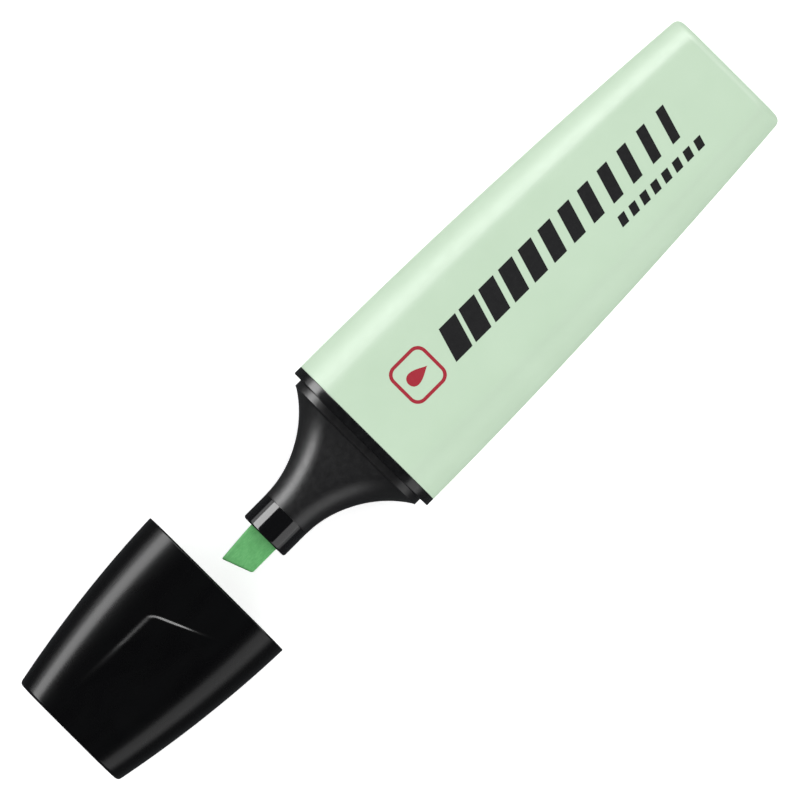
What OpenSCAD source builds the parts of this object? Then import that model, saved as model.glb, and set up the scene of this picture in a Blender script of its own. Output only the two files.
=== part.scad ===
// Flat chisel-tip highlighter with its cap pulled off, lying on its wide face.
// Millimetres. +X runs along the pen from the nib to the tail, +Y across its width, +Z up.
// The origin is at the middle of the whole footprint, on the plane that the barrel lies on.

/* [Barrel] */
// Length of the coloured barrel, from its mouth to its flat tail
barrel_length = 73.7; // [66:0.1:80]
// Width where the barrel meets the black front section
front_width = 26.9; // [25:0.1:29]
// Width at the tail
tail_width = 20.8; // [18:0.1:24]
// Thickness where the barrel meets the front section
front_thickness = 17; // [16:0.1:18.5]
// Thickness at the tail
tail_thickness = 13; // [12.4:0.1:15]
// Wall of the barrel
barrel_wall = 1.3; // [1.1:0.05:1.5]
// Rounding round the edge of the tail
tail_rounding = 1.1; // [0.5:0.1:1.2]

/* [Front section] */
// Thickness of the flange that the cap closes against
flange_length = 1.36; // [1:0.02:2]
// Length of the inset land that the cap's mouth slides over
land_length = 1.2; // [0.8:0.05:2]
// How far the flange stands proud of the land, which is also the cap's wall
land_inset = 1.35; // [1.2:0.05:1.6]
// Length of the concave flare between the land and the nozzle
flare_length = 13.85; // [11:0.05:16]
// Length of the round nozzle
nozzle_length = 4.65; // [4:0.05:6]
// Diameter of the round nozzle
nozzle_diameter = 8.1; // [7.6:0.05:8.4]
// Length of the spigot that plugs into the barrel
spigot_length = 9; // [7:0.5:11]

/* [Nib] */
// Width of the chisel nib
nib_width = 5.1; // [4.5:0.1:5.4]
// Thickness of the chisel nib
nib_thickness = 3.5; // [3:0.1:4]
// How far the long corner of the nib stands out of the nozzle
nib_reach = 6.55; // [5.5:0.05:7.2]
// Slant of the writing edge, in degrees
nib_slant = 18.5; // [10:0.5:30]
// How much the nib narrows towards its long corner
nib_taper = 0.5; // [0:0.1:1]

/* [Ink reservoir] */
// Width of the wrapped fibre reservoir
reservoir_width = 16.4; // [14:0.1:16.8]
// Thickness of the wrapped fibre reservoir
reservoir_thickness = 9.5; // [8.5:0.1:9.6]

/* [Cap] */
// Length of the cap, from its mouth to its flat end
cap_length = 30; // [29:0.1:32]
// Width of the cap at its closed end
cap_end_width = 19.8; // [19:0.1:23]
// Thickness of the cap at its closed end
cap_end_thickness = 14.4; // [14:0.1:16]
// Distance that the cap is pulled back from its closed position
cap_pulled = 29.3; // [27:0.1:40]
// Height of the thumb ledge at its highest corner
ledge_height = 0.34; // [0.2:0.02:0.36]

/* [Hidden] */

corner_steps = 10;      // straight steps in each quarter of a cross-section
bow = 1.85;             // power of the curves that the barrel narrows along
level_share = 0.35;     // share of the barrel, from the front, that keeps its full thickness
corner_front = 7.8;     // width of the rounded side, where barrel, section and cap meet
corner_tail = 4.8;      // the same at the tail
corner_cap_end = 6;     // the same at the cap's closed end
fullness = 2.4;         // power of the rounded sides: 2 is an ellipse, more is squarer
cap_bow = 0.7;          // share of the cap's narrowing that is curved
flare_step = 0.2;       // step from the land in to the flare
flare_lap = 0.05;       // how far the flare stands proud of the nozzle at its root
hollow_share = 0.42;    // share of the flare, from the nozzle, that is solid
root_flat = 0.4;        // half width of the flat above and below the flare's root
tail_floor = 1.5;       // thickness of the barrel's closed end
cap_floor = 1.4;        // thickness of the cap's closed end
cap_rounding = 0.5;     // rounding round the edge of the cap's closed end
fit_gap = 0.05;         // clearance of every push fit
cap_gap = 0.12;         // clearance between the cap and what it slides over
mouth_straight = 1.7;   // parallel stretch inside the cap's mouth that the land fits
section_wall = 1.3;     // wall of the hollow flare and of the spigot
bead_height = 0.2;      // snap bead on the spigot, and its groove in the barrel
bead_x = 5.5;           // where the bead stands, behind the barrel's mouth
nib_tail = 10;          // how far behind the barrel's mouth the nib ends
slot_width = 1.2;       // air slots above and below the nib
slot_depth = 0.6;       // how far each slot stands over the nib
reservoir_front = 4.5;  // where the reservoir begins
wrap_film = 0.12;       // film round the fibre
wrap_gap = 0.01;        // clearance between the fibre and its film
wrap_setback = 0.5;     // bare fibre at each end of the wrap
reservoir_play = 1.2;   // gap between the reservoir and the barrel's closed end
rib_thickness = 1;      // moulded ribs in the barrel and in the cap
rib_offset = 4;         // distance from the pen's middle to each of the ribs on its faces
seal_wall = 1.1;        // wall of the inner seal
seal_lead = 0.5;        // lead-in round the seal's mouth
seal_play = 0.2;        // gap between the seal's mouth and the flare when the cap is on
socket_depth = 4;       // how far the cap's socket holds the seal
socket_wall = 0.8;      // wall of that socket
web_width = 3.6;        // width of each web beside the socket

// Thumb ledge, as distances behind the cap's mouth and across the face
ledge_corner = [9.6, 4.1];      // its high corner
ledge_far_end = [5.1, -6.2];    // where its front edge runs out
ledge_low_end = [26.5, 4.3];    // where its side edge runs out
ledge_bend = 1.3;               // rounding of the high corner
ledge_embed = 0.5;              // how deep it is sunk in the face
ledge_tuck = 0.02;              // how far its two ends stay under the face

land_x = -flange_length;               // front of the flange, where the closed cap stops
flare_x = land_x - land_length;        // wide end of the flare
nozzle_x = flare_x - flare_length;     // root of the nozzle
mouth_x = nozzle_x - nozzle_length;    // front of the nozzle
nib_x = mouth_x - nib_reach;           // tip of the nib's long corner
cap_x = land_x - cap_pulled;           // the cap's mouth
cap_end_x = cap_x - cap_length;        // the cap's closed end
nozzle_r = nozzle_diameter / 2;
centre_x = (barrel_length + cap_end_x) / 2;
axis_z = front_thickness / 2;

// Sizes along the pen

function mix(a, b, share) = a + (b - a) * share;
function pushed(shape, by) = [shape[0] - by, shape[1] - by, shape[2] - by, shape[3]];

// Half width, half thickness, rounded side's width and its power for the barrel at x, bowed
// in towards the tail
function barrel_shape(x) =
    let (
        share = max(x / barrel_length, 0),
        thin_share = max(share - level_share, 0) / (1 - level_share)
    )
    [
        mix(front_width, tail_width, pow(share, bow)) / 2,
        mix(front_thickness, tail_thickness, pow(thin_share, bow)) / 2,
        mix(corner_front, corner_tail, share),
        fullness
    ];

// The same for the cap, at a distance from its mouth
function cap_shape(back) =
    let (share = back / cap_length)
    [
        mix(front_width, cap_end_width, (1 - cap_bow) * share + cap_bow * share * share) / 2,
        mix(front_thickness, cap_end_thickness, share) / 2,
        mix(corner_front, corner_cap_end, share),
        fullness
    ];

// The same for the flare, as a parabola from the nozzle to the land
function flare_shape(x) =
    let (
        wide = pushed(barrel_shape(0), land_inset + flare_step),
        root_r = nozzle_r + flare_lap,
        round = [root_r, root_r, root_r - root_flat, 2],
        share = pow((x - nozzle_x) / flare_length, 2)
    )
    [for (i = [0:3]) mix(round[i], wide[i], share)];

// Half thickness at a distance across from the middle
function face_height(shape, across) =
    let (out = max(abs(across) - (shape[0] - shape[2]), 0) / shape[2])
    shape[1] * pow(1 - pow(out, shape[3]), 1 / shape[3]);

// Cross-sections and skins

// Points round one cross-section: flat above and below, with full, rounded sides
function ring(x, shape) =
    let (flat = shape[0] - shape[2], bend = 2 / shape[3])
    [
        for (side = [1, -1])
            for (i = [0:2 * corner_steps])
                let (turn = side * (-90 + 90 * i / corner_steps))
                [
                    x,
                    side * (flat + shape[2] * pow(cos(turn), bend)),
                    shape[1] * sign(sin(turn)) * pow(abs(sin(turn)), bend)
                ]
    ];

// Closed solid over a row of rings, with a flat lid at each end. Rings on the outside run
// towards +X, and a hollow's rings run back towards -X.
module skin(rings) {
    count = len(rings[0]);
    last = (len(rings) - 1) * count;
    sides = [
        for (r = [0:len(rings) - 2])
            for (i = [0:count - 1])
                let (a = r * count + i, b = r * count + (i + 1) % count)
                each [[a, b + count, b], [a, a + count, b + count]]
    ];
    first_lid = [[for (i = [0:count - 1]) i]];
    last_lid = [[for (i = [count - 1:-1:0]) last + i]];
    polyhedron(points = [for (r = rings) each r], faces = concat(first_lid, sides, last_lid));
}

module pen_frame() {
    translate([-centre_x, 0, axis_z]) children();
}

// Plain rod along +X from x
module rod(x, length, radius) {
    translate([x, 0, 0]) rotate([0, 90, 0]) cylinder(h = length, r = radius, $fn = 96);
}

// Flattened bar along +X with round sides
module flat_bar(x, length, width, thickness) {
    rotate([0, 90, 0])
        translate([0, 0, x])
            linear_extrude(length)
                union() {
                    square([thickness, width - thickness], center = true);
                    for (side = [-1, 1])
                        translate([0, side * (width - thickness) / 2])
                            circle(d = thickness, $fn = 96);
                }
}

// Barrel

module barrel_skin() {
    groove = [bead_x - 1, bead_x - 0.5, bead_x + 0.5, bead_x + 1];
    bore_end = barrel_length - tail_floor;
    bore = [
        for (i = [8:-1:1])
            let (x = mix(groove[3], bore_end, i / 8))
            ring(x, pushed(barrel_shape(x), barrel_wall)),
        for (i = [3:-1:0])
            let (depth = (i == 1 || i == 2) ? bead_height : 0)
            ring(groove[i], pushed(barrel_shape(groove[i]), barrel_wall - depth)),
        ring(0, pushed(barrel_shape(0), barrel_wall))
    ];
    outside = [
        for (i = [0:14])
            let (x = (barrel_length - tail_rounding) * i / 14)
            ring(x, barrel_shape(x)),
        for (turn = [22.5:22.5:90])
            let (x = barrel_length - tail_rounding * (1 - sin(turn)))
            ring(x, pushed(barrel_shape(x), tail_rounding * (1 - cos(turn))))
    ];
    skin(concat(bore, outside));
}

// Rib from the reservoir, whose half size is held, out to the wall. The wall's half size is
// the chosen one of barrel_shape's values.
module barrel_rib(held, chosen) {
    first = spigot_length + 2;
    last = barrel_length - tail_floor / 2;
    inside = held + fit_gap;
    steps = 8;
    translate([0, 0, -rib_thickness / 2])
        linear_extrude(rib_thickness)
            polygon(concat(
                [[first, inside], [last, inside]],
                [
                    for (i = [steps:-1:0])
                        let (x = mix(first, last, i / steps))
                        [x, barrel_shape(x)[chosen] - barrel_wall / 2]
                ]
            ));
}

// Moulded ribs inside the barrel that centre the reservoir: one on each side, two on each face
module barrel_ribs() {
    for (turn = [0, 180])
        rotate([turn, 0, 0]) {
            barrel_rib(reservoir_width / 2, 0);
            for (side = [-1, 1])
                translate([0, side * rib_offset, 0])
                    rotate([90, 0, 0])
                        barrel_rib(reservoir_thickness / 2, 1);
        }
}

module barrel() {
    color([0.78, 0.87, 0.76])
        pen_frame()
            union() {
                barrel_skin();
                barrel_ribs();
            }
}

// Front section: flange, land, flare and nozzle in one moulding

module section_outside() {
    spigot = barrel_wall + fit_gap;
    skin(concat(
        [for (i = [0:12]) let (x = nozzle_x + flare_length * i / 12) ring(x, flare_shape(x))],
        [
            ring(flare_x, pushed(barrel_shape(0), land_inset)),
            ring(land_x, pushed(barrel_shape(0), land_inset)),
            ring(land_x, barrel_shape(0)),
            ring(0, barrel_shape(0)),
            ring(0, pushed(barrel_shape(0), spigot))
        ],
        [
            for (i = [0:3])
                let (x = bead_x + [-1, -0.5, 0.5, 1][i])
                let (height = (i == 1 || i == 2) ? bead_height : 0)
                ring(x, pushed(barrel_shape(x), spigot - height))
        ],
        [ring(spigot_length, pushed(barrel_shape(spigot_length), spigot))]
    ));
}

// Hollow behind the nozzle, open towards the barrel
module section_hollow() {
    start = nozzle_x + hollow_share * flare_length;
    skin(concat(
        [
            for (i = [0:6])
                let (x = mix(start, flare_x, i / 6))
                ring(x, pushed(flare_shape(x), section_wall))
        ],
        [
            for (x = [flare_x + 1, spigot_length + 1])
                ring(x, pushed(barrel_shape(x), barrel_wall + fit_gap + section_wall))
        ]
    ));
}

// Round nozzle with a softened front edge, running back into the flare
module nozzle() {
    edge = 0.45;
    root = 6;
    translate([mouth_x, 0, 0])
        rotate([0, 90, 0])
            rotate_extrude($fn = 96)
                union() {
                    translate([0, edge]) square([nozzle_r, nozzle_length + root - edge]);
                    square([nozzle_r - edge, nozzle_length]);
                    translate([nozzle_r - edge, edge]) circle(r = edge, $fn = 48);
                }
}

// Channel that grips the nib, with an air slot above and below it
module nib_channel() {
    length = nozzle_length + flare_length;
    gap = 2 * fit_gap;
    slot_height = nib_thickness + 2 * slot_depth;
    translate([mouth_x - 1, 0, 0]) {
        translate([0, -(nib_width + gap) / 2, -(nib_thickness + gap) / 2])
            cube([length, nib_width + gap, nib_thickness + gap]);
        translate([0, -slot_width / 2, -slot_height / 2])
            cube([length, slot_width, slot_height]);
    }
}

module front_section() {
    color([0.09, 0.09, 0.1])
        pen_frame()
            difference() {
                union() {
                    section_outside();
                    nozzle();
                }
                section_hollow();
                nib_channel();
            }
}

// Nib: a felt bar with a slanted writing edge and softened long corners

module chisel_nib() {
    half = nib_width / 2;
    back = nib_width * tan(nib_slant);
    corner = 0.35;
    diamond = sqrt(2) * (half + nib_thickness / 2 - corner);
    color([0.38, 0.7, 0.41])
        pen_frame()
            intersection() {
                translate([0, 0, -nib_thickness / 2])
                    linear_extrude(nib_thickness)
                        polygon([
                            [nib_x, half - nib_taper - corner],
                            [nib_x + corner, half - nib_taper],
                            [mouth_x, half],
                            [nib_tail, half],
                            [nib_tail, -half],
                            [nib_x + back, -half]
                        ]);
                translate([nib_x - 1, 0, 0])
                    rotate([45, 0, 0])
                        translate([0, -diamond / 2, -diamond / 2])
                            cube([nib_tail - nib_x + 2, diamond, diamond]);
            }
}

// Ink reservoir: a fibre core in a film wrap, with a slot that the nib's tail pushes into

function reservoir_length() = barrel_length - tail_floor - reservoir_play - reservoir_front;

module ink_reservoir() {
    gap = 2 * fit_gap;
    film = 2 * (wrap_film + wrap_gap);
    color([0.55, 0.82, 0.55])
        pen_frame()
            difference() {
                flat_bar(
                    reservoir_front, reservoir_length(),
                    reservoir_width - film, reservoir_thickness - film
                );
                translate([reservoir_front - 1, -(nib_width + gap) / 2, -(nib_thickness + gap) / 2])
                    cube([nib_tail - reservoir_front + 1 + gap, nib_width + gap, nib_thickness + gap]);
            }
}

module reservoir_wrap() {
    film = 2 * wrap_film;
    color([0.92, 0.94, 0.92])
        pen_frame()
            difference() {
                flat_bar(
                    reservoir_front + wrap_setback, reservoir_length() - 2 * wrap_setback,
                    reservoir_width, reservoir_thickness
                );
                flat_bar(
                    reservoir_front, reservoir_length(),
                    reservoir_width - film, reservoir_thickness - film
                );
            }
}

// Cap: an outer shell with a thumb ledge on each face, and a seal pressed into it

module cap_skin() {
    wall = land_inset - cap_gap;
    floor_back = cap_length - cap_floor;
    skin(concat(
        [
            for (turn = [90:-30:30])
                let (back = cap_length - cap_rounding * (1 - sin(turn)))
                ring(cap_x - back, pushed(cap_shape(back), cap_rounding * (1 - cos(turn))))
        ],
        [
            for (i = [10:-1:0])
                let (back = (cap_length - cap_rounding) * i / 10)
                ring(cap_x - back, cap_shape(back))
        ],
        [for (back = [0, mouth_straight]) ring(cap_x - back, pushed(cap_shape(0), wall))],
        [
            for (i = [1:8])
                let (back = mix(mouth_straight, floor_back, i / 8))
                ring(cap_x - back, pushed(cap_shape(back), wall))
        ]
    ));
}

// Ledge that stands highest at its rounded front corner and runs out into the face behind it
module thumb_ledge() {
    spots = [for (spot = [ledge_corner, ledge_far_end, ledge_low_end]) [cap_x - spot[0], spot[1]]];
    to_far = (spots[1] - spots[0]) / norm(spots[1] - spots[0]);
    to_low = (spots[2] - spots[0]) / norm(spots[2] - spots[0]);
    bend = [
        for (share = [0:0.2:1])
            spots[0]
                + to_low * ledge_bend * pow(1 - share, 2)
                + to_far * ledge_bend * pow(share, 2)
    ];
    outline = concat([spots[2]], bend, [spots[1]]);
    count = len(outline);
    face = [for (p = outline) face_height(cap_shape(cap_x - p[0]), p[1])];
    // Both ends stay just under the face
    height = [for (i = [0:count - 1]) (i == 0 || i == count - 1) ? -ledge_tuck : ledge_height];
    polyhedron(
        points = concat(
            [for (i = [0:count - 1]) [each outline[i], face[i] - ledge_embed]],
            [for (i = [0:count - 1]) [each outline[i], face[i] + height[i]]]
        ),
        faces = concat(
            [[for (i = [count - 1:-1:0]) i]],
            [for (i = [1:count - 2]) [count, count + i, count + i + 1]],
            [
                for (i = [0:count - 1])
                    let (j = (i + 1) % count)
                    each [[i, count + j, count + i], [i, j, count + j]]
            ]
        )
    );
}

// Socket ring and two webs that hold the inner seal
module seal_socket() {
    root_x = cap_end_x + cap_floor / 2;
    length = socket_depth + cap_floor / 2;
    inner_r = nozzle_r + cap_gap + seal_wall + fit_gap;
    outer_r = inner_r + socket_wall;
    difference() {
        union() {
            rod(root_x, length, outer_r);
            for (side = [-1, 1])
                translate([root_x, side * (outer_r + web_width / 3) - web_width / 2, -rib_thickness / 2])
                    cube([length, web_width, rib_thickness]);
        }
        rod(cap_end_x + cap_floor, socket_depth + 1, inner_r);
    }
}

module cap_shell() {
    color([0.05, 0.05, 0.06])
        pen_frame()
            union() {
                cap_skin();
                seal_socket();
                for (turn = [0, 180]) rotate([turn, 0, 0]) thumb_ledge();
            }
}

// Thimble that closes round the nozzle and keeps the nib from drying
module cap_inner_seal() {
    floor_x = cap_end_x + cap_floor;
    length = (nozzle_x - land_x) + cap_length - cap_floor - seal_play;
    bore_r = nozzle_r + cap_gap;
    color([0.16, 0.16, 0.17])
        pen_frame()
            translate([floor_x, 0, 0])
                rotate([0, 90, 0])
                    rotate_extrude($fn = 96)
                        polygon([
                            [0, 0],
                            [bore_r + seal_wall, 0],
                            [bore_r + seal_wall, length],
                            [bore_r + seal_lead, length],
                            [bore_r, length - seal_lead],
                            [bore_r, seal_wall],
                            [0, seal_wall]
                        ]);
}

barrel();
front_section();
chisel_nib();
ink_reservoir();
reservoir_wrap();
cap_shell();
cap_inner_seal();
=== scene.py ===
"""Looks of a flat highlighter with its cap pulled off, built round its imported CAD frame.

Every size comes from the frame's boxes and the few shape values below, which repeat the CAD's own formulas,
apart from the flare's curl, the ledge's height and small edge roundings. The barrel, front section, nib, cap
and seal get smooth shells in place of their CAD solids. Plain marks are printed on the barrel, and the rest
is materials, studio light and the camera.
"""

import math

import bmesh
import bpy
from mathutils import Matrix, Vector, noise


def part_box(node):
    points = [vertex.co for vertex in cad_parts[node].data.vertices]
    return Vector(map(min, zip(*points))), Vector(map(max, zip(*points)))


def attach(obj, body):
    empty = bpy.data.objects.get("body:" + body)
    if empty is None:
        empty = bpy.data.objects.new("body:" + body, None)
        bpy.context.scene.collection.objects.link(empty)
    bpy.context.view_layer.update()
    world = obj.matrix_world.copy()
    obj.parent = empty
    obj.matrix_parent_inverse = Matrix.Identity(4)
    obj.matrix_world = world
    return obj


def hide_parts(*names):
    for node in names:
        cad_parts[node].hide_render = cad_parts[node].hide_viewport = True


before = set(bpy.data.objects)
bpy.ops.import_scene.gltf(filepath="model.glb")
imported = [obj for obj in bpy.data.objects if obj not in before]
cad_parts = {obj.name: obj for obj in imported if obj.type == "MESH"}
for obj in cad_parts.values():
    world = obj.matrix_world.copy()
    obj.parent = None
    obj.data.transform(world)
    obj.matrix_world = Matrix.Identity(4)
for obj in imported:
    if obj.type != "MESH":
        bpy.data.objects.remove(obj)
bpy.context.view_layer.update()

MM = 0.001

# ---------------------------------------------------------------- places, from the frame

barrel_low, barrel_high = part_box("barrel")
section_low, section_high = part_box("front_section")
nib_low, nib_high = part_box("chisel_nib")
cap_low, cap_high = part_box("cap_shell")
seal_low, seal_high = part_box("cap_inner_seal")

AXIS_Z = (barrel_low.z + barrel_high.z) / 2
FRONT_X, TAIL_X = barrel_low.x, barrel_high.x
NOZZLE_MOUTH_X, SPIGOT_END_X = section_low.x, section_high.x
NIB_TIP_X, NIB_TAIL_X = nib_low.x, nib_high.x
CAP_END_X, CAP_MOUTH_X = cap_low.x, cap_high.x

# ---------------------------------------------------------------- shape values

# A cross-section is (half width, half thickness, width of the rounded side). FULLNESS is the power of the
# rounded sides: 2 is an ellipse, more is squarer.
FRONT_SHAPE = (barrel_high.y, (barrel_high.z - barrel_low.z) / 2, 7.8 * MM)
TAIL_SHAPE = (10.4 * MM, 6.5 * MM, 4.8 * MM)
CAP_END_SHAPE = (9.9 * MM, 7.2 * MM, 6.0 * MM)
FULLNESS = 2.4
BOW = 1.85
CAP_BOW = 0.7
LEVEL_SHARE = 0.35
BARREL_WALL = 1.3 * MM
TAIL_FLOOR = 1.5 * MM
TAIL_ROUNDING = 1.1 * MM
FLANGE = 1.36 * MM
LAND = 1.2 * MM
LAND_INSET = 1.35 * MM
FLARE = 13.85 * MM
FLARE_STEP = 0.2 * MM
FLARE_LAP = 0.03 * MM
HOLLOW_SHARE = 0.42
NOZZLE_R = 4.05 * MM
NOZZLE_ROUNDING = 0.45 * MM
SECTION_WALL = 1.3 * MM
CAP_WALL = 1.23 * MM
CAP_FLOOR = 1.4 * MM
CAP_ROUNDING = 0.5 * MM
MOUTH_STRAIGHT = 1.7 * MM
NIB_SLANT = math.radians(18.5)
NIB_TAPER = 0.5 * MM
NIB_PLAY = 0.06 * MM
SEAL_WALL = 1.1 * MM
EDGE = 0.12 * MM

# The part of the flare's widening that comes just before the land, and its power: more is shorter. The CAD's
# flare has no such curl, so it is up to 0.52 mm wider on each side than this one.
FLARE_CURL = 0.14
CURL_POWER = 8

LAND_X = FRONT_X - FLANGE
FLARE_X = LAND_X - LAND
NOZZLE_X = FLARE_X - FLARE

# Steps round a quarter of a cross-section and across its flat
BARREL_STEPS = (36, 12)
SECTION_STEPS = (36, 12)
CAP_STEPS = (36, 120)
FLARE_RINGS = 48
HOLLOW_RINGS = 8

# Half the angle that a round ring gives to the points of a flat
FLAT_SPREAD = math.radians(8)


def mix(a, b, share):
    return a + (b - a) * share


def pushed(shape, by):
    return tuple(value - by for value in shape)


def smooth_step(value):
    value = min(max(value, 0), 1)
    return value * value * (3 - 2 * value)


def barrel_shape(x):
    share = min(max((x - FRONT_X) / (TAIL_X - FRONT_X), 0), 1)
    thin_share = max(share - LEVEL_SHARE, 0) / (1 - LEVEL_SHARE)
    width = mix(FRONT_SHAPE[0], TAIL_SHAPE[0], share**BOW)
    thickness = mix(FRONT_SHAPE[1], TAIL_SHAPE[1], thin_share**BOW)
    return (width, thickness, mix(FRONT_SHAPE[2], TAIL_SHAPE[2], share))


def cap_shape(x):
    share = min(max((CAP_MOUTH_X - x) / (CAP_MOUTH_X - CAP_END_X), 0), 1)
    shares = ((1 - CAP_BOW) * share + CAP_BOW * share * share, share, share)
    return tuple(mix(a, b, s) for a, b, s in zip(FRONT_SHAPE, CAP_END_SHAPE, shares))


# ---------------------------------------------------------------- rings and skins


def bent(value, fullness):
    """A sine or cosine, drawn out so that a quarter turn is a full, rounded side."""
    return math.copysign(max(abs(value), 1e-12) ** (2 / fullness), value)


def ring(x, shape, steps, fullness=FULLNESS):
    """Points round one cross-section: flat above and below, with full, rounded sides."""
    half_width, half_thickness, corner = shape
    corner_steps, flat_steps = steps
    flat = half_width - corner
    points = []
    for side in (1, -1):
        for i in range(2 * corner_steps + 1):
            turn = side * math.pi / 2 * (i / corner_steps - 1)
            y = side * (flat + corner * bent(math.cos(turn), fullness))
            points.append(Vector((x, y, AXIS_Z + half_thickness * bent(math.sin(turn), fullness))))
        for i in range(1, flat_steps):
            y = side * mix(flat, -flat, i / flat_steps)
            points.append(Vector((x, y, AXIS_Z + side * half_thickness)))
    return points


def ring_angles(steps):
    """The angle of each point of a ring when the ring is round."""
    corner_steps, flat_steps = steps
    quarter = math.pi / 2 - FLAT_SPREAD
    half = [quarter * (i / corner_steps - 1) for i in range(2 * corner_steps + 1)]
    half += [quarter + 2 * FLAT_SPREAD * i / flat_steps for i in range(1, flat_steps)]
    return half + [angle + math.pi for angle in half]


def polar_ring(x, steps, radius):
    """A ring whose radius is a number or a function of the angle."""
    points = []
    for angle in ring_angles(steps):
        r = radius(angle) if callable(radius) else radius
        points.append(Vector((x, r * math.cos(angle), AXIS_Z + r * math.sin(angle))))
    return points


def rounded(path, steps=6):
    """A path of (x, depth, radius) points with each corner rounded to its radius, as (x, depth) points."""
    points = [Vector(path[0][:2])]
    for before, here, after in zip(path, path[1:], path[2:]):
        corner = Vector(here[:2])
        back, on = Vector(before[:2]) - corner, Vector(after[:2]) - corner
        half_angle = back.angle(on) / 2
        reach = min(here[2] / math.tan(half_angle), 0.49 * back.length, 0.49 * on.length)
        if reach < 1e-7 or half_angle > math.radians(88):
            points.append(corner)
            continue
        start, end = corner + back.normalized() * reach, corner + on.normalized() * reach
        centre = corner + (back.normalized() + on.normalized()).normalized() * reach / math.cos(half_angle)
        first, last = start - centre, end - centre
        swing = first.angle(last)
        for i in range(steps + 1):
            share = i / steps
            a = math.sin((1 - share) * swing) / math.sin(swing)
            b = math.sin(share * swing) / math.sin(swing)
            points.append(centre + first * a + last * b)
    points.append(Vector(path[-1][:2]))
    return points


def spaced(points, step):
    """The same path with points added so that no stretch is longer than step."""
    dense = [points[0]]
    for a, b in zip(points, points[1:]):
        count = max(1, math.ceil((b - a).length / step))
        dense += [a.lerp(b, i / count) for i in range(1, count + 1)]
    return dense


def skin(name, rings, closed=False):
    """A mesh object over a row of rings, closed on itself or with a fan of triangles at each end."""
    mesh = bmesh.new()
    loops = [[mesh.verts.new(point) for point in points] for points in rings]
    count = len(loops[0])
    pairs = list(zip(loops, loops[1:]))
    if closed:
        pairs.append((loops[-1], loops[0]))
    for first, second in pairs:
        for i in range(count):
            j = (i + 1) % count
            mesh.faces.new((first[i], first[j], second[j], second[i]))
    if not closed:
        for loop in (loops[0], loops[-1]):
            middle = mesh.verts.new(sum((v.co for v in loop), Vector()) / count)
            for i in range(count):
                mesh.faces.new((loop[i], loop[(i + 1) % count], middle))
    return finished(name, mesh)


def finished(name, mesh, smooth=True):
    """Turns a bmesh into a scene object with outward normals."""
    bmesh.ops.recalc_face_normals(mesh, faces=mesh.faces)
    data = bpy.data.meshes.new(name)
    mesh.to_mesh(data)
    mesh.free()
    piece = bpy.data.objects.new(name, data)
    bpy.context.scene.collection.objects.link(piece)
    for face in data.polygons:
        face.use_smooth = smooth
    if smooth:
        weighted = piece.modifiers.new("weighted_normals", "WEIGHTED_NORMAL")
        weighted.mode = "FACE_AREA"
    return piece


def lathe(x_radius, steps=64):
    """Rings round the pen's axis for a path of (x, radius) points."""
    return [
        [
            Vector((x, r * math.cos(turn), AXIS_Z + r * math.sin(turn)))
            for turn in (2 * math.pi * i / steps for i in range(steps))
        ]
        for x, r in x_radius
    ]


def add_mesh(piece, other):
    """Moves another object's mesh into the piece, as one more closed body in it."""
    mesh = bmesh.new()
    mesh.from_mesh(piece.data)
    mesh.from_mesh(other.data)
    mesh.to_mesh(piece.data)
    mesh.free()
    bpy.data.objects.remove(other)


def block(low, high, bevel):
    """A box between two corners, with bevelled edges."""
    mesh = bmesh.new()
    bmesh.ops.create_cube(mesh, size=1)
    for vertex in mesh.verts:
        share = [c + 0.5 for c in vertex.co]
        vertex.co = Vector([mix(a, b, s) for a, b, s in zip(low, high, share)])
    bmesh.ops.bevel(mesh, geom=mesh.edges, offset=bevel, segments=2, affect="EDGES", profile=0.5)
    return finished("block", mesh)


# ---------------------------------------------------------------- pieces


def gate_mark(x, inwards, steps):
    """Rings of the small dimple with a nub that the mould's gate leaves in a flat end."""
    rim, floor, nub = 1.5 * MM, 1.35 * MM, 0.55 * MM
    depth = 0.16 * MM * inwards
    return [
        polar_ring(x, steps, rim + 0.1 * MM),
        polar_ring(x, steps, rim),
        polar_ring(x + depth * 0.3, steps, rim - 0.04 * MM),
        polar_ring(x + depth, steps, floor),
        polar_ring(x + depth, steps, nub + 0.05 * MM),
        polar_ring(x + depth * 0.45, steps, nub),
        polar_ring(x + depth * 0.4, steps, nub * 0.5),
    ]


def make_barrel():
    path = [
        (TAIL_X - TAIL_FLOOR, 3 * MM, 0),
        (TAIL_X - TAIL_FLOOR, BARREL_WALL, 0.8 * MM),
        (FRONT_X, BARREL_WALL, EDGE),
        (FRONT_X, 0, EDGE),
        (TAIL_X, 0, TAIL_ROUNDING),
        (TAIL_X, 2.2 * MM, 0),
    ]
    rings = [
        ring(x, pushed(barrel_shape(x), depth), BARREL_STEPS)
        for x, depth in spaced(rounded(path), 1.2 * MM)
    ]
    return skin("barrel_shell", rings + gate_mark(TAIL_X, -1, BARREL_STEPS))


def flare_ring(x, push=0.0):
    """A ring of the flare, which runs from round at the nozzle to the barrel's section at the land."""
    along = (x - NOZZLE_X) / FLARE
    share = mix(along**2, along**CURL_POWER, FLARE_CURL)
    wide = ring(x, pushed(FRONT_SHAPE, LAND_INSET + FLARE_STEP + push), SECTION_STEPS, 2)
    round_end = polar_ring(x, SECTION_STEPS, NOZZLE_R + FLARE_LAP - push)
    return [b.lerp(a, share) for a, b in zip(wide, round_end)]


def channel_radius(angle):
    """Radius of the nib's channel at an angle: a rectangle with an air slot above and below."""
    nib_half = ((nib_high.y - nib_low.y) / 2 + NIB_PLAY, (nib_high.z - nib_low.z) / 2 + NIB_PLAY)
    slot_half = (0.6 * MM, nib_half[1] + 0.55 * MM)
    across, up = abs(math.cos(angle)) + 1e-9, abs(math.sin(angle)) + 1e-9
    return max(min(half[0] / across, half[1] / up) for half in (nib_half, slot_half))


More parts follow.
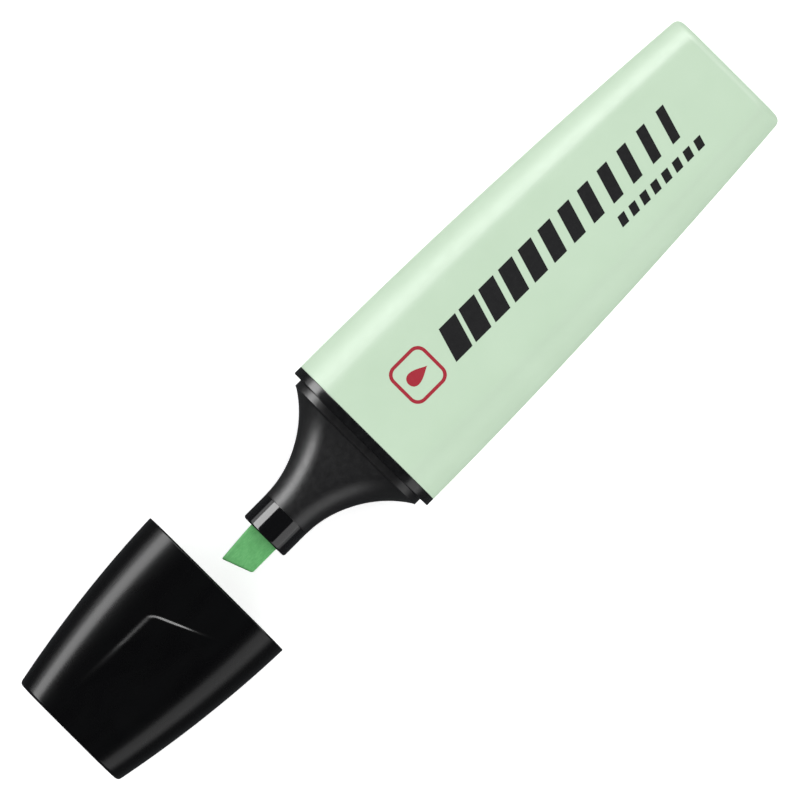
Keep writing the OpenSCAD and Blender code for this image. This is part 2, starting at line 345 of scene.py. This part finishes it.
def make_front_section():
    """One closed skin: spigot, flange, land, flare and nozzle, then the nib's channel and the hollow."""
    spigot = BARREL_WALL + 0.05 * MM
    outside = [
        (SPIGOT_END_X, spigot + SECTION_WALL, 0),
        (SPIGOT_END_X, spigot, 0.3 * MM),
        (FRONT_X, spigot, 0.05 * MM),
        (FRONT_X, 0, EDGE),
        (LAND_X, 0, EDGE * 1.4),
        (LAND_X, LAND_INSET, 0.1 * MM),
        (FLARE_X, LAND_INSET, 0.22 * MM),
        (FLARE_X, LAND_INSET + FLARE_STEP, 0),
    ]
    rings = [
        ring(x, pushed(barrel_shape(x), depth), SECTION_STEPS)
        for x, depth in spaced(rounded(outside), 1.0 * MM)
    ][:-1]
    rings += [flare_ring(mix(FLARE_X, NOZZLE_X, i / FLARE_RINGS)) for i in range(FLARE_RINGS + 1)]
    nozzle = [
        (NOZZLE_X - 0.02 * MM, NOZZLE_R, 0),
        (NOZZLE_X - 0.10 * MM, NOZZLE_R, 0),
        (NOZZLE_MOUTH_X, NOZZLE_R, NOZZLE_ROUNDING),
        (NOZZLE_MOUTH_X, 3.3 * MM, 0),
    ]
    rings += [polar_ring(x, SECTION_STEPS, r) for x, r in spaced(rounded(nozzle, 8), 0.8 * MM)]
    hollow_x = NOZZLE_X + HOLLOW_SHARE * FLARE
    grown = 0.12 * MM
    rings.append(polar_ring(NOZZLE_MOUTH_X, SECTION_STEPS, lambda a: channel_radius(a) + grown))
    rings.append(polar_ring(NOZZLE_MOUTH_X + grown, SECTION_STEPS, channel_radius))
    rings.append(polar_ring(hollow_x, SECTION_STEPS, channel_radius))
    rings += [
        flare_ring(mix(hollow_x, FLARE_X, i / HOLLOW_RINGS), SECTION_WALL) for i in range(HOLLOW_RINGS + 1)
    ]
    inner_x = FRONT_X + 0.5 * MM
    rings.append(ring(inner_x, pushed(barrel_shape(inner_x), spigot + SECTION_WALL), SECTION_STEPS))
    return skin("front_section_shell", rings, closed=True)


def rounded_rectangle(half_width, half_thickness, corner, arc_steps=6, edge_steps=10):
    """Points (y, z) round a rectangle with round corners."""
    points = []
    signs = ((1, 1), (-1, 1), (-1, -1), (1, -1))
    for quarter, (side_y, side_z) in enumerate(signs):
        centre = Vector((side_y * (half_width - corner), side_z * (half_thickness - corner)))
        for i in range(arc_steps + 1):
            turn = math.pi / 2 * (quarter + i / arc_steps)
            points.append(centre + corner * Vector((math.cos(turn), math.sin(turn))))
        next_y, next_z = signs[(quarter + 1) % 4]
        turn = math.pi / 2 * (quarter + 1)
        end = Vector((next_y * (half_width - corner), next_z * (half_thickness - corner)))
        end += corner * Vector((math.cos(turn), math.sin(turn)))
        start = points[-1].copy()
        points += [start.lerp(end, i / edge_steps) for i in range(1, edge_steps)]
    return points


def make_nib():
    """A felt bar with a slanted writing edge, softened and a little worn where it writes."""
    half_width = (nib_high.y - nib_low.y) / 2
    half_thickness = (nib_high.z - nib_low.z) / 2
    outline = rounded_rectangle(half_width, half_thickness, 0.4 * MM)
    slanted = 5 * MM
    tip = [(0, 0.9 * MM, 0), (0, 0, 0.32 * MM), (slanted, 0, 0)]
    rings = []
    for distance, inset in spaced(rounded(tip, 5), 0.2 * MM):
        scale = Vector((1 - inset / half_width, 1 - inset / half_thickness))
        points = []
        for y, z in outline:
            y, z = y * scale.x, z * scale.y
            x = NIB_TIP_X + distance + (half_width - y) * math.tan(NIB_SLANT)
            reach = max(NOZZLE_MOUTH_X - x, 0) / (NOZZLE_MOUTH_X - NIB_TIP_X)
            y -= NIB_TAPER * reach * (y + half_width) / (2 * half_width)
            points.append(Vector((x, y, AXIS_Z + z)))
        rings.append(points)
    back_x = NIB_TIP_X + slanted + 3 * MM
    for x in (back_x, mix(back_x, NIB_TAIL_X, 0.5), NIB_TAIL_X):
        rings.append([Vector((x, y, AXIS_Z + z)) for y, z in outline])
    piece = skin("nib_felt", rings)
    fuzz, grain = 0.03 * MM, 0.3 * MM
    for vertex in piece.data.vertices:
        reach = smooth_step((NOZZLE_MOUTH_X - vertex.co.x) / (1 * MM))
        inwards = Vector((0, -vertex.co.y, AXIS_Z - vertex.co.z)).normalized()
        inwards.x = 0.7
        lift = noise.noise(vertex.co / grain) * 0.5 + 0.5
        vertex.co += inwards * fuzz * reach * lift
    return piece


def ledge_height(x, y):
    """Height of the cap's thumb ledge over its face: highest at the corner, running out behind."""
    # The triangle that the ledge fills, seen from above
    corner = Vector((CAP_MOUTH_X - 9.6 * MM, 4.1 * MM))
    far_end = Vector((CAP_MOUTH_X - 5.1 * MM, -6.2 * MM))
    low_end = Vector((CAP_MOUTH_X - 26.5 * MM, 4.3 * MM))
    height, low_edge, far_edge, bend = 0.26 * MM, 1.15 * MM, 0.5 * MM, 1.6
    to_far, to_low = far_end - corner, low_end - corner
    spot = Vector((x, y)) - corner
    across = to_far.x * to_low.y - to_far.y * to_low.x
    far_share = (spot.x * to_low.y - spot.y * to_low.x) / across
    low_share = (to_far.x * spot.y - to_far.y * spot.x) / across
    slope = 1 - far_share - low_share
    if slope <= 0:
        return 0
    # Distances inside the two edges that meet at the corner, each as a share of its edge's width
    inside_low = far_share * abs(across) / to_low.length / low_edge
    inside_far = low_share * abs(across) / to_far.length / far_edge
    a, b = bend - inside_low, bend - inside_far
    inside = bend - math.hypot(a, b) if a > 0 and b > 0 else min(inside_low, inside_far)
    return height * min(slope * 1.8, 1) * smooth_step(inside)


def raise_ledges(points):
    """Lifts the flats of one of the cap's rings where the ledges stand, above and below."""
    for point in points:
        side = 1 if point.z > AXIS_Z else -1
        point.z += side * ledge_height(point.x, side * point.y)
    return points


def make_cap():
    """The cap's shell, with the socket ring and two webs that hold the seal inside it."""
    outside = [
        (CAP_END_X, 2.2 * MM, 0),
        (CAP_END_X, 0, CAP_ROUNDING),
        (CAP_MOUTH_X, 0, EDGE),
        (CAP_MOUTH_X, CAP_WALL / 2, 0),
    ]
    floor_x = CAP_END_X + CAP_FLOOR
    inside = [
        (CAP_MOUTH_X, CAP_WALL / 2, 0),
        (CAP_MOUTH_X, CAP_WALL, EDGE),
        (CAP_MOUTH_X - MOUTH_STRAIGHT, CAP_WALL, 0),
        (floor_x, CAP_WALL, 0.8 * MM),
        (floor_x, 3 * MM, 0),
    ]
    rings = gate_mark(CAP_END_X, 1, CAP_STEPS)[::-1]
    for x, depth in spaced(rounded(outside), 0.13 * MM):
        rings.append(raise_ledges(ring(x, pushed(cap_shape(x), depth), CAP_STEPS)))
    for x, depth in spaced(rounded(inside)[1:], 1.5 * MM):
        rings.append(ring(x, pushed(cap_shape(x), depth), CAP_STEPS))
    piece = skin("cap_gloss_shell", rings)
    socket_r, socket_wall, depth = seal_high.y + 0.05 * MM, 0.8 * MM, 4 * MM
    socket = [
        (floor_x - 0.3 * MM, socket_r, 0),
        (floor_x + depth, socket_r, 0.1 * MM),
        (floor_x + depth, socket_r + socket_wall, 0.2 * MM),
        (floor_x - 0.3 * MM, socket_r + socket_wall, 0),
    ]
    add_mesh(piece, skin("socket", lathe(rounded(socket, 4)), closed=True))
    for side in (1, -1):
        inner, outer = socket_r + socket_wall / 2, socket_r + socket_wall + 3.2 * MM
        low = (floor_x - 0.3 * MM, min(side * inner, side * outer), AXIS_Z - 0.5 * MM)
        high = (floor_x + depth, max(side * inner, side * outer), AXIS_Z + 0.5 * MM)
        add_mesh(piece, block(low, high, 0.1 * MM))
    return piece


def make_seal():
    """The thimble that closes round the nozzle, with a flared lip at its open end."""
    outer = seal_high.y
    back, front = seal_low.x, seal_high.x
    path = [
        (back, 0.4 * MM, 0),
        (back, outer, 0.1 * MM),
        (front, outer, 0.25 * MM),
        (front, outer - SEAL_WALL + 0.5 * MM, 0.1 * MM),
        (front - 0.5 * MM, outer - SEAL_WALL, 0.3 * MM),
        (back + SEAL_WALL, outer - SEAL_WALL, 0.5 * MM),
        (back + SEAL_WALL, 0.4 * MM, 0),
    ]
    return skin("seal_thimble", lathe(spaced(rounded(path), 1.5 * MM), 128))


# ---------------------------------------------------------------- printed marks


def top_of_barrel(x):
    return AXIS_Z + barrel_shape(x)[1]


def printed(name, shapes):
    """Thin ink films on the barrel's upper face. A shape is an outline, or a pair of outlines for a band."""
    film, sunk = 0.014 * MM, 0.02 * MM
    mesh = bmesh.new()
    for outer, inner in shapes:
        levels = []
        for lift in (film, -sunk):
            for outline in (outer, inner):
                points = [(x, y, top_of_barrel(x) + lift) for x, y in outline or ()]
                levels.append([mesh.verts.new(point) for point in points])
        top, top_hole, base, base_hole = levels
        count = len(top)
        for i in range(count):
            j = (i + 1) % count
            mesh.faces.new((top[i], top[j], base[j], base[i]))
            if inner:
                mesh.faces.new((top_hole[i], top_hole[j], base_hole[j], base_hole[i]))
                mesh.faces.new((top[i], top[j], top_hole[j], top_hole[i]))
                mesh.faces.new((base[i], base[j], base_hole[j], base_hole[i]))
        if not inner:
            mesh.faces.new(top)
            mesh.faces.new(base)
    return finished(name, mesh, smooth=False)


def slanted_bar(start, length, low, high, slant, steps=6):
    """Outline of a bar along the pen whose two ends lean."""
    lean = (high - low) * slant
    near = [(start + lean * i / steps, mix(low, high, i / steps)) for i in range(steps + 1)]
    return near + [(x + length, y) for x, y in reversed(near)]


def rounded_square(centre_x, centre_y, half, corner):
    outline = rounded_rectangle(half, half, corner, 10, 4)
    return [(centre_x + p.x, centre_y + p.y) for p in outline]


def drop_outline(centre_x, centre_y, size, steps=48):
    """A plain drop that points along the pen."""
    points = []
    for i in range(steps):
        turn = 2 * math.pi * i / steps
        x = -math.cos(turn) * size
        y = math.sin(turn) * math.sin(turn / 2) ** 1.5 * size * 0.8
        points.append((centre_x - x, centre_y + y))
    return points


def make_marks():
    """A red badge and black bars, in the places where the barrel is printed."""
    badge_x, badge_y = FRONT_X + 11.0 * MM, 0.7 * MM
    outer = rounded_square(badge_x, badge_y, 3.4 * MM, 1.6 * MM)
    inner = rounded_square(badge_x, badge_y, 2.9 * MM, 1.15 * MM)
    drop = drop_outline(badge_x, badge_y, 1.9 * MM)
    badge = printed("badge_print", [(outer, inner), (drop, None)])
    bars, slant = [], 0.3
    x, low, high, pitch, count = FRONT_X + 16.2 * MM, -1.9 * MM, 3.2 * MM, 4.0 * MM, 12
    for i in range(count):
        length = mix(3.3, 1.5, i / (count - 1)) * MM
        bars.append((slanted_bar(x, length, low, high, slant), None))
        x += pitch
    x, low, high, pitch, count = FRONT_X + 46.7 * MM, -5.2 * MM, -3.6 * MM, 2.2 * MM, 8
    for _ in range(count):
        bars.append((slanted_bar(x, 1.3 * MM, low, high, slant, 3), None))
        x += pitch
    return badge, printed("bar_print", bars)


# ---------------------------------------------------------------- materials


class Paint:
    """One procedural material: helpers that add noise, ranges and bump to its shader."""

    def __init__(self, name, **sockets):
        self.material = bpy.data.materials.new(name)
        self.material.use_nodes = True
        self.nodes = self.material.node_tree.nodes
        self.links = self.material.node_tree.links
        self.shader = self.nodes["Principled BSDF"]
        for socket, value in sockets.items():
            self.shader.inputs[socket.replace("_", " ")].default_value = value

    def add(self, kind, **settings):
        node = self.nodes.new(kind)
        for name, value in settings.items():
            setattr(node, name, value)
        return node

    def space(self, stretch=(1, 1, 1)):
        """Object coordinates in metres, stretched along each axis."""
        mapping = self.add("ShaderNodeMapping")
        mapping.inputs["Scale"].default_value = stretch
        coordinates = self.add("ShaderNodeTexCoord")
        self.links.new(coordinates.outputs["Object"], mapping.inputs["Vector"])
        return mapping.outputs["Vector"]

    def noise(self, size, detail=3, stretch=(1, 1, 1), distortion=0.0):
        """Noise with features of about this size in metres."""
        node = self.add("ShaderNodeTexNoise")
        node.inputs["Scale"].default_value = 1 / size
        node.inputs["Detail"].default_value = detail
        node.inputs["Distortion"].default_value = distortion
        self.links.new(self.space(stretch), node.inputs["Vector"])
        return node.outputs["Fac"]

    def ranged(self, value, low, high, start=0.3, end=0.7):
        """The value's span from start to end, mapped to low and high."""
        node = self.add("ShaderNodeMapRange")
        for socket, number in (("From Min", start), ("From Max", end), ("To Min", low), ("To Max", high)):
            node.inputs[socket].default_value = number
        self.links.new(value, node.inputs["Value"])
        return node.outputs["Result"]

    def blended(self, factor, first, second):
        """A colour between two colours or sockets."""
        node = self.add("ShaderNodeMix", data_type="RGBA")
        self.links.new(factor, node.inputs["Factor"])
        for socket, colour in ((node.inputs[6], first), (node.inputs[7], second)):
            if isinstance(colour, tuple):
                socket.default_value = (*colour, 1)
            else:
                self.links.new(colour, socket)
        return node.outputs[2]

    def facing(self, start, end):
        """0 to 1 as the surface turns from start to end degrees away from level, in object space."""
        coordinates = self.add("ShaderNodeTexCoord")
        split = self.add("ShaderNodeSeparateXYZ")
        level = self.add("ShaderNodeMath", operation="ABSOLUTE")
        self.links.new(coordinates.outputs["Normal"], split.inputs["Vector"])
        self.links.new(split.outputs["Z"], level.inputs[0])
        steep, flat = math.cos(math.radians(end)), math.cos(math.radians(start))
        return self.ranged(level.outputs["Value"], 1, 0, steep, flat)

    def bump(self, height, distance, under=None):
        """A normal for relief this deep in metres, on top of another bump if there is one."""
        node = self.add("ShaderNodeBump")
        node.inputs["Strength"].default_value = 1
        node.inputs["Distance"].default_value = distance
        self.links.new(height, node.inputs["Height"])
        if under:
            self.links.new(under, node.inputs["Normal"])
        return node.outputs["Normal"]

    def drive(self, socket, value):
        self.links.new(value, self.shader.inputs[socket])


def barrel_plastic():
    """Satin pastel green, faintly mottled, finely textured, with matt faces and smoother sides."""
    paint = Paint("barrel_plastic", IOR=1.49, Specular_IOR_Level=1.0)
    cloud = paint.noise(9 * MM, 2)
    green = paint.blended(paint.ranged(cloud, 0, 1), (0.465, 0.62, 0.45), (0.485, 0.64, 0.47))
    paint.drive("Base Color", green)
    polish = paint.add("ShaderNodeMix", data_type="FLOAT")
    paint.links.new(paint.facing(8, 18), polish.inputs["Factor"])
    paint.links.new(paint.ranged(paint.noise(1.6 * MM, 4), 0.9, 0.96), polish.inputs[2])
    paint.links.new(paint.ranged(paint.noise(1.6 * MM, 4), 0.57, 0.63), polish.inputs[3])
    paint.drive("Roughness", polish.outputs[0])
    fine = paint.bump(paint.noise(0.22 * MM, 2), 0.004 * MM)
    paint.drive("Normal", paint.bump(paint.noise(5 * MM, 2), 0.02 * MM, under=fine))
    return paint.material


def section_plastic():
    """Satin black with a spark-eroded grain."""
    paint = Paint("section_plastic", IOR=1.5, Specular_IOR_Level=0.66)
    patches = paint.noise(3 * MM)
    paint.drive("Base Color", paint.blended(patches, (0.003, 0.003, 0.0034), (0.006, 0.006, 0.0065)))
    paint.drive("Roughness", paint.ranged(paint.noise(0.8 * MM, 4), 0.34, 0.42))
    paint.drive("Normal", paint.bump(paint.noise(0.16 * MM, 3), 0.006 * MM))
    return paint.material


def nozzle_plastic():
    """The same black, polished, with faint marks from the cap's seal."""
    paint = Paint("nozzle_plastic", IOR=1.5, Specular_IOR_Level=0.7)
    rubs = paint.noise(1.2 * MM, 5, stretch=(0.15, 1, 1))
    paint.drive("Base Color", paint.blended(rubs, (0.003, 0.003, 0.0035), (0.006, 0.006, 0.0065)))
    paint.drive("Roughness", paint.ranged(rubs, 0.05, 0.10))
    paint.drive("Normal", paint.bump(rubs, 0.0015 * MM))
    return paint.material


def flange_plastic():
    """The same black, semi-polished where the cap's mouth closes on it."""
    paint = Paint("flange_plastic", IOR=1.5, Specular_IOR_Level=0.6)
    rubs = paint.noise(0.9 * MM, 4)
    paint.drive("Base Color", paint.blended(rubs, (0.003, 0.003, 0.0035), (0.006, 0.006, 0.0065)))
    paint.drive("Roughness", paint.ranged(rubs, 0.2, 0.27))
    paint.drive("Normal", paint.bump(paint.noise(0.3 * MM, 3), 0.002 * MM))
    return paint.material


def cap_plastic():
    """Polished black with handling smears and hairline scratches."""
    paint = Paint("cap_plastic", IOR=1.5, Specular_IOR_Level=0.35)
    smears = paint.noise(5 * MM, 5, stretch=(0.6, 1.3, 1), distortion=0.6)
    paint.drive("Base Color", paint.blended(smears, (0.0006, 0.0006, 0.0008), (0.0012, 0.0012, 0.0015)))
    paint.drive("Roughness", paint.ranged(smears, 0.26, 0.29))
    scratches = paint.noise(0.25 * MM, 6, stretch=(0.05, 1, 1))
    soft = paint.bump(paint.noise(6 * MM, 1), 0.006 * MM)
    paint.drive("Normal", paint.bump(scratches, 0.0012 * MM, under=soft))
    return paint.material


def seal_plastic():
    paint = Paint("seal_plastic", IOR=1.48)
    paint.drive("Base Color", paint.blended(paint.noise(2 * MM), (0.012, 0.012, 0.013), (0.02, 0.02, 0.021)))
    paint.drive("Roughness", paint.ranged(paint.noise(1 * MM, 4), 0.38, 0.5))
    paint.drive("Normal", paint.bump(paint.noise(0.3 * MM, 2), 0.004 * MM))
    return paint.material


def felt(name, dark, light, fibre=0.09 * MM):
    """Pressed fibres that run along the pen, wet with ink."""
    paint = Paint(name, IOR=1.4)
    fibres = paint.noise(fibre, 5, stretch=(0.12, 1, 1), distortion=0.4)
    patches = paint.noise(0.9 * MM, 3)
    strands = paint.blended(paint.ranged(fibres, 0, 1), dark, light)
    deep = tuple(channel * 0.8 for channel in dark)
    paint.drive("Base Color", paint.blended(paint.ranged(patches, 0, 0.45, 0.45, 0.75), strands, deep))
    paint.drive("Roughness", paint.ranged(fibres, 0.6, 0.9))
    coarse = paint.bump(patches, 0.05 * MM)
    paint.drive("Normal", paint.bump(fibres, 0.03 * MM, under=coarse))
    paint.shader.inputs["Sheen Weight"].default_value = 0.15
    return paint.material


def wrap_film():
    paint = Paint("wrap_film", IOR=1.5, Transmission_Weight=0.4)
    paint.drive("Base Color", paint.blended(paint.noise(3 * MM), (0.8, 0.86, 0.8), (0.7, 0.8, 0.72)))
    paint.drive("Roughness", paint.ranged(paint.noise(2 * MM, 4), 0.08, 0.2))
    paint.drive("Normal", paint.bump(paint.noise(4 * MM, 2, stretch=(0.2, 1, 1)), 0.03 * MM))
    return paint.material


def print_ink(name, thick, thin):
    """Pad-printed ink: even, matt, a little thinner in specks."""
    paint = Paint(name, IOR=1.5, Specular_IOR_Level=0.2)
    specks = paint.noise(0.12 * MM, 3)
    paint.drive("Base Color", paint.blended(paint.ranged(specks, 0, 1, 0.62, 0.8), thick, thin))
    paint.drive("Roughness", paint.ranged(paint.noise(0.7 * MM, 3), 0.78, 0.9))
    paint.drive("Normal", paint.bump(specks, 0.003 * MM))
    return paint.material


def floor_paper():
    paint = Paint("floor_paper", IOR=1.45, Emission_Strength=0.48)
    paint.shader.inputs["Emission Color"].default_value = (1, 1, 1, 1)
    paint.drive("Base Color", paint.blended(paint.noise(60 * MM, 2), (0.93, 0.93, 0.93), (0.95, 0.95, 0.95)))
    paint.drive("Roughness", paint.ranged(paint.noise(3 * MM, 3), 0.8, 0.95))
    paint.drive("Normal", paint.bump(paint.noise(0.8 * MM, 3), 0.01 * MM))
    return paint.material


# ---------------------------------------------------------------- studio

LIGHT_DISTANCE = 0.45
STRIP_LENGTH = 1.1
PICTURE_SPAN = 114.9 * MM
PEN_TURN = math.radians(45.1)


def make_floor():
    mesh = bmesh.new()
    bmesh.ops.create_circle(mesh, cap_ends=True, radius=3, segments=96)
    floor = finished("floor", mesh, smooth=False)
    floor.data.materials.append(floor_paper())
    floor.visible_glossy = False


def gloss_light(name, lean, swing, power, size, aim_x=0.0):
    """A rectangular light that gives gloss only. It leans from overhead towards +Y, or towards +X with a
    swing of 90 degrees."""
    data = bpy.data.lights.new(name, "AREA")
    data.shape = "RECTANGLE"
    data.size, data.size_y = size
    data.energy = power
    light = bpy.data.objects.new(name, data)
    bpy.context.scene.collection.objects.link(light)
    lean, swing = math.radians(lean), math.radians(swing)
    direction = Vector((math.sin(lean) * math.sin(swing), math.sin(lean) * math.cos(swing), math.cos(lean)))
    light.location = Vector((aim_x, 0, AXIS_Z)) + LIGHT_DISTANCE * direction
    light.rotation_euler = direction.to_track_quat("Z", "Y").to_euler()
    light.visible_camera = False
    light.visible_diffuse = False


def make_tent():
    """Even, shadowless light from all round overhead, as in a light tent. It gives no gloss."""
    data = bpy.data.lights.new("tent", "SUN")
    data.angle = math.radians(175)
    data.energy = 3.4
    tent = bpy.data.objects.new("tent", data)
    bpy.context.scene.collection.objects.link(tent)
    tent.visible_camera = False
    tent.visible_glossy = False


def make_world():
    """A dim surround for gloss: grey round the horizon and nearly black overhead."""
    world = bpy.data.worlds.new("studio")
    bpy.context.scene.world = world
    world.use_nodes = True
    nodes, links = world.node_tree.nodes, world.node_tree.links
    coordinates = nodes.new("ShaderNodeTexCoord")
    split = nodes.new("ShaderNodeSeparateXYZ")
    fall = nodes.new("ShaderNodeValToRGB")
    fall.color_ramp.interpolation = "EASE"
    fall.color_ramp.elements[0].position = 0.05
    fall.color_ramp.elements[0].color = (0.061, 0.064, 0.067, 1)
    fall.color_ramp.elements[1].position = 0.5
    fall.color_ramp.elements[1].color = (0.0095, 0.011, 0.0125, 1)
    links.new(coordinates.outputs["Generated"], split.inputs["Vector"])
    links.new(split.outputs["Z"], fall.inputs["Fac"])
    links.new(fall.outputs["Color"], nodes["Background"].inputs["Color"])


def make_camera():
    """Straight above the pen, turned so that the pen lies across the picture from corner to corner."""
    data = bpy.data.cameras.new("camera")
    data.lens = 1000
    data.sensor_width = 36
    camera = bpy.data.objects.new("camera", data)
    bpy.context.scene.collection.objects.link(camera)
    distance = PICTURE_SPAN * data.lens / data.sensor_width
    camera.location = (0.13 * MM, -0.02 * MM, AXIS_Z + distance)
    camera.rotation_euler = (0, 0, -PEN_TURN)
    data.clip_start, data.clip_end = 0.01, 10
    bpy.context.scene.camera = camera


# ---------------------------------------------------------------- assembly


def place(piece, body, slot, *materials, replaced=()):
    for material in materials:
        piece.data.materials.append(material)
    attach(piece, body)
    if replaced:
        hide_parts(*replaced)


def refinish(node, material):
    """Gives a CAD node that stays a better material."""
    for material_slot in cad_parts[node].material_slots:
        material_slot.material = material


place(make_barrel(), "pen", "barrel_plastic", barrel_plastic(), replaced=["barrel"])
front = make_front_section()
place(
    front, "pen", "section_plastic",
    section_plastic(), nozzle_plastic(), flange_plastic(), replaced=["front_section"],
)
for face in front.data.polygons:
    x = face.center.x
    on_nozzle, on_flange = x < NOZZLE_X + 0.01 * MM, LAND_X - 0.1 * MM < x < FRONT_X
    face.material_index = 1 if on_nozzle else 2 if on_flange else 0
nib_green = felt("nib_felt", (0.09, 0.42, 0.11), (0.16, 0.52, 0.18))
place(make_nib(), "pen", "nib_felt", nib_green, replaced=["chisel_nib"])
place(make_cap(), "cap", "cap_plastic", cap_plastic(), replaced=["cap_shell"])
place(make_seal(), "cap", "seal_plastic", seal_plastic(), replaced=["cap_inner_seal"])
badge, bars = make_marks()
place(badge, "pen", "print_red", print_ink("print_red", (0.36, 0.014, 0.03), (0.42, 0.05, 0.06)))
place(bars, "pen", "print_black", print_ink("print_black", (0.004, 0.004, 0.005), (0.02, 0.025, 0.02)))
refinish("ink_reservoir", felt("reservoir_fibre", (0.16, 0.5, 0.17), (0.3, 0.66, 0.3), 0.14 * MM))
refinish("reservoir_wrap", wrap_film())

make_floor()
gloss_light("key_light", 57, 0, 6.7, (STRIP_LENGTH, 0.26))
gloss_light("fill_light", -60, 0, 1.2, (STRIP_LENGTH, 0.28))
gloss_light("low_key_light", 82, 0, 0.55, (STRIP_LENGTH, 0.12))
gloss_light("low_fill_light", -82, 0, 0.3, (STRIP_LENGTH, 0.12))
gloss_light("edge_light", 56, 70, 1.2, (0.16, 0.16), (CAP_END_X + CAP_MOUTH_X) / 2)
make_tent()
make_world()
make_camera()
bpy.context.scene.view_settings.view_transform = "Standard"
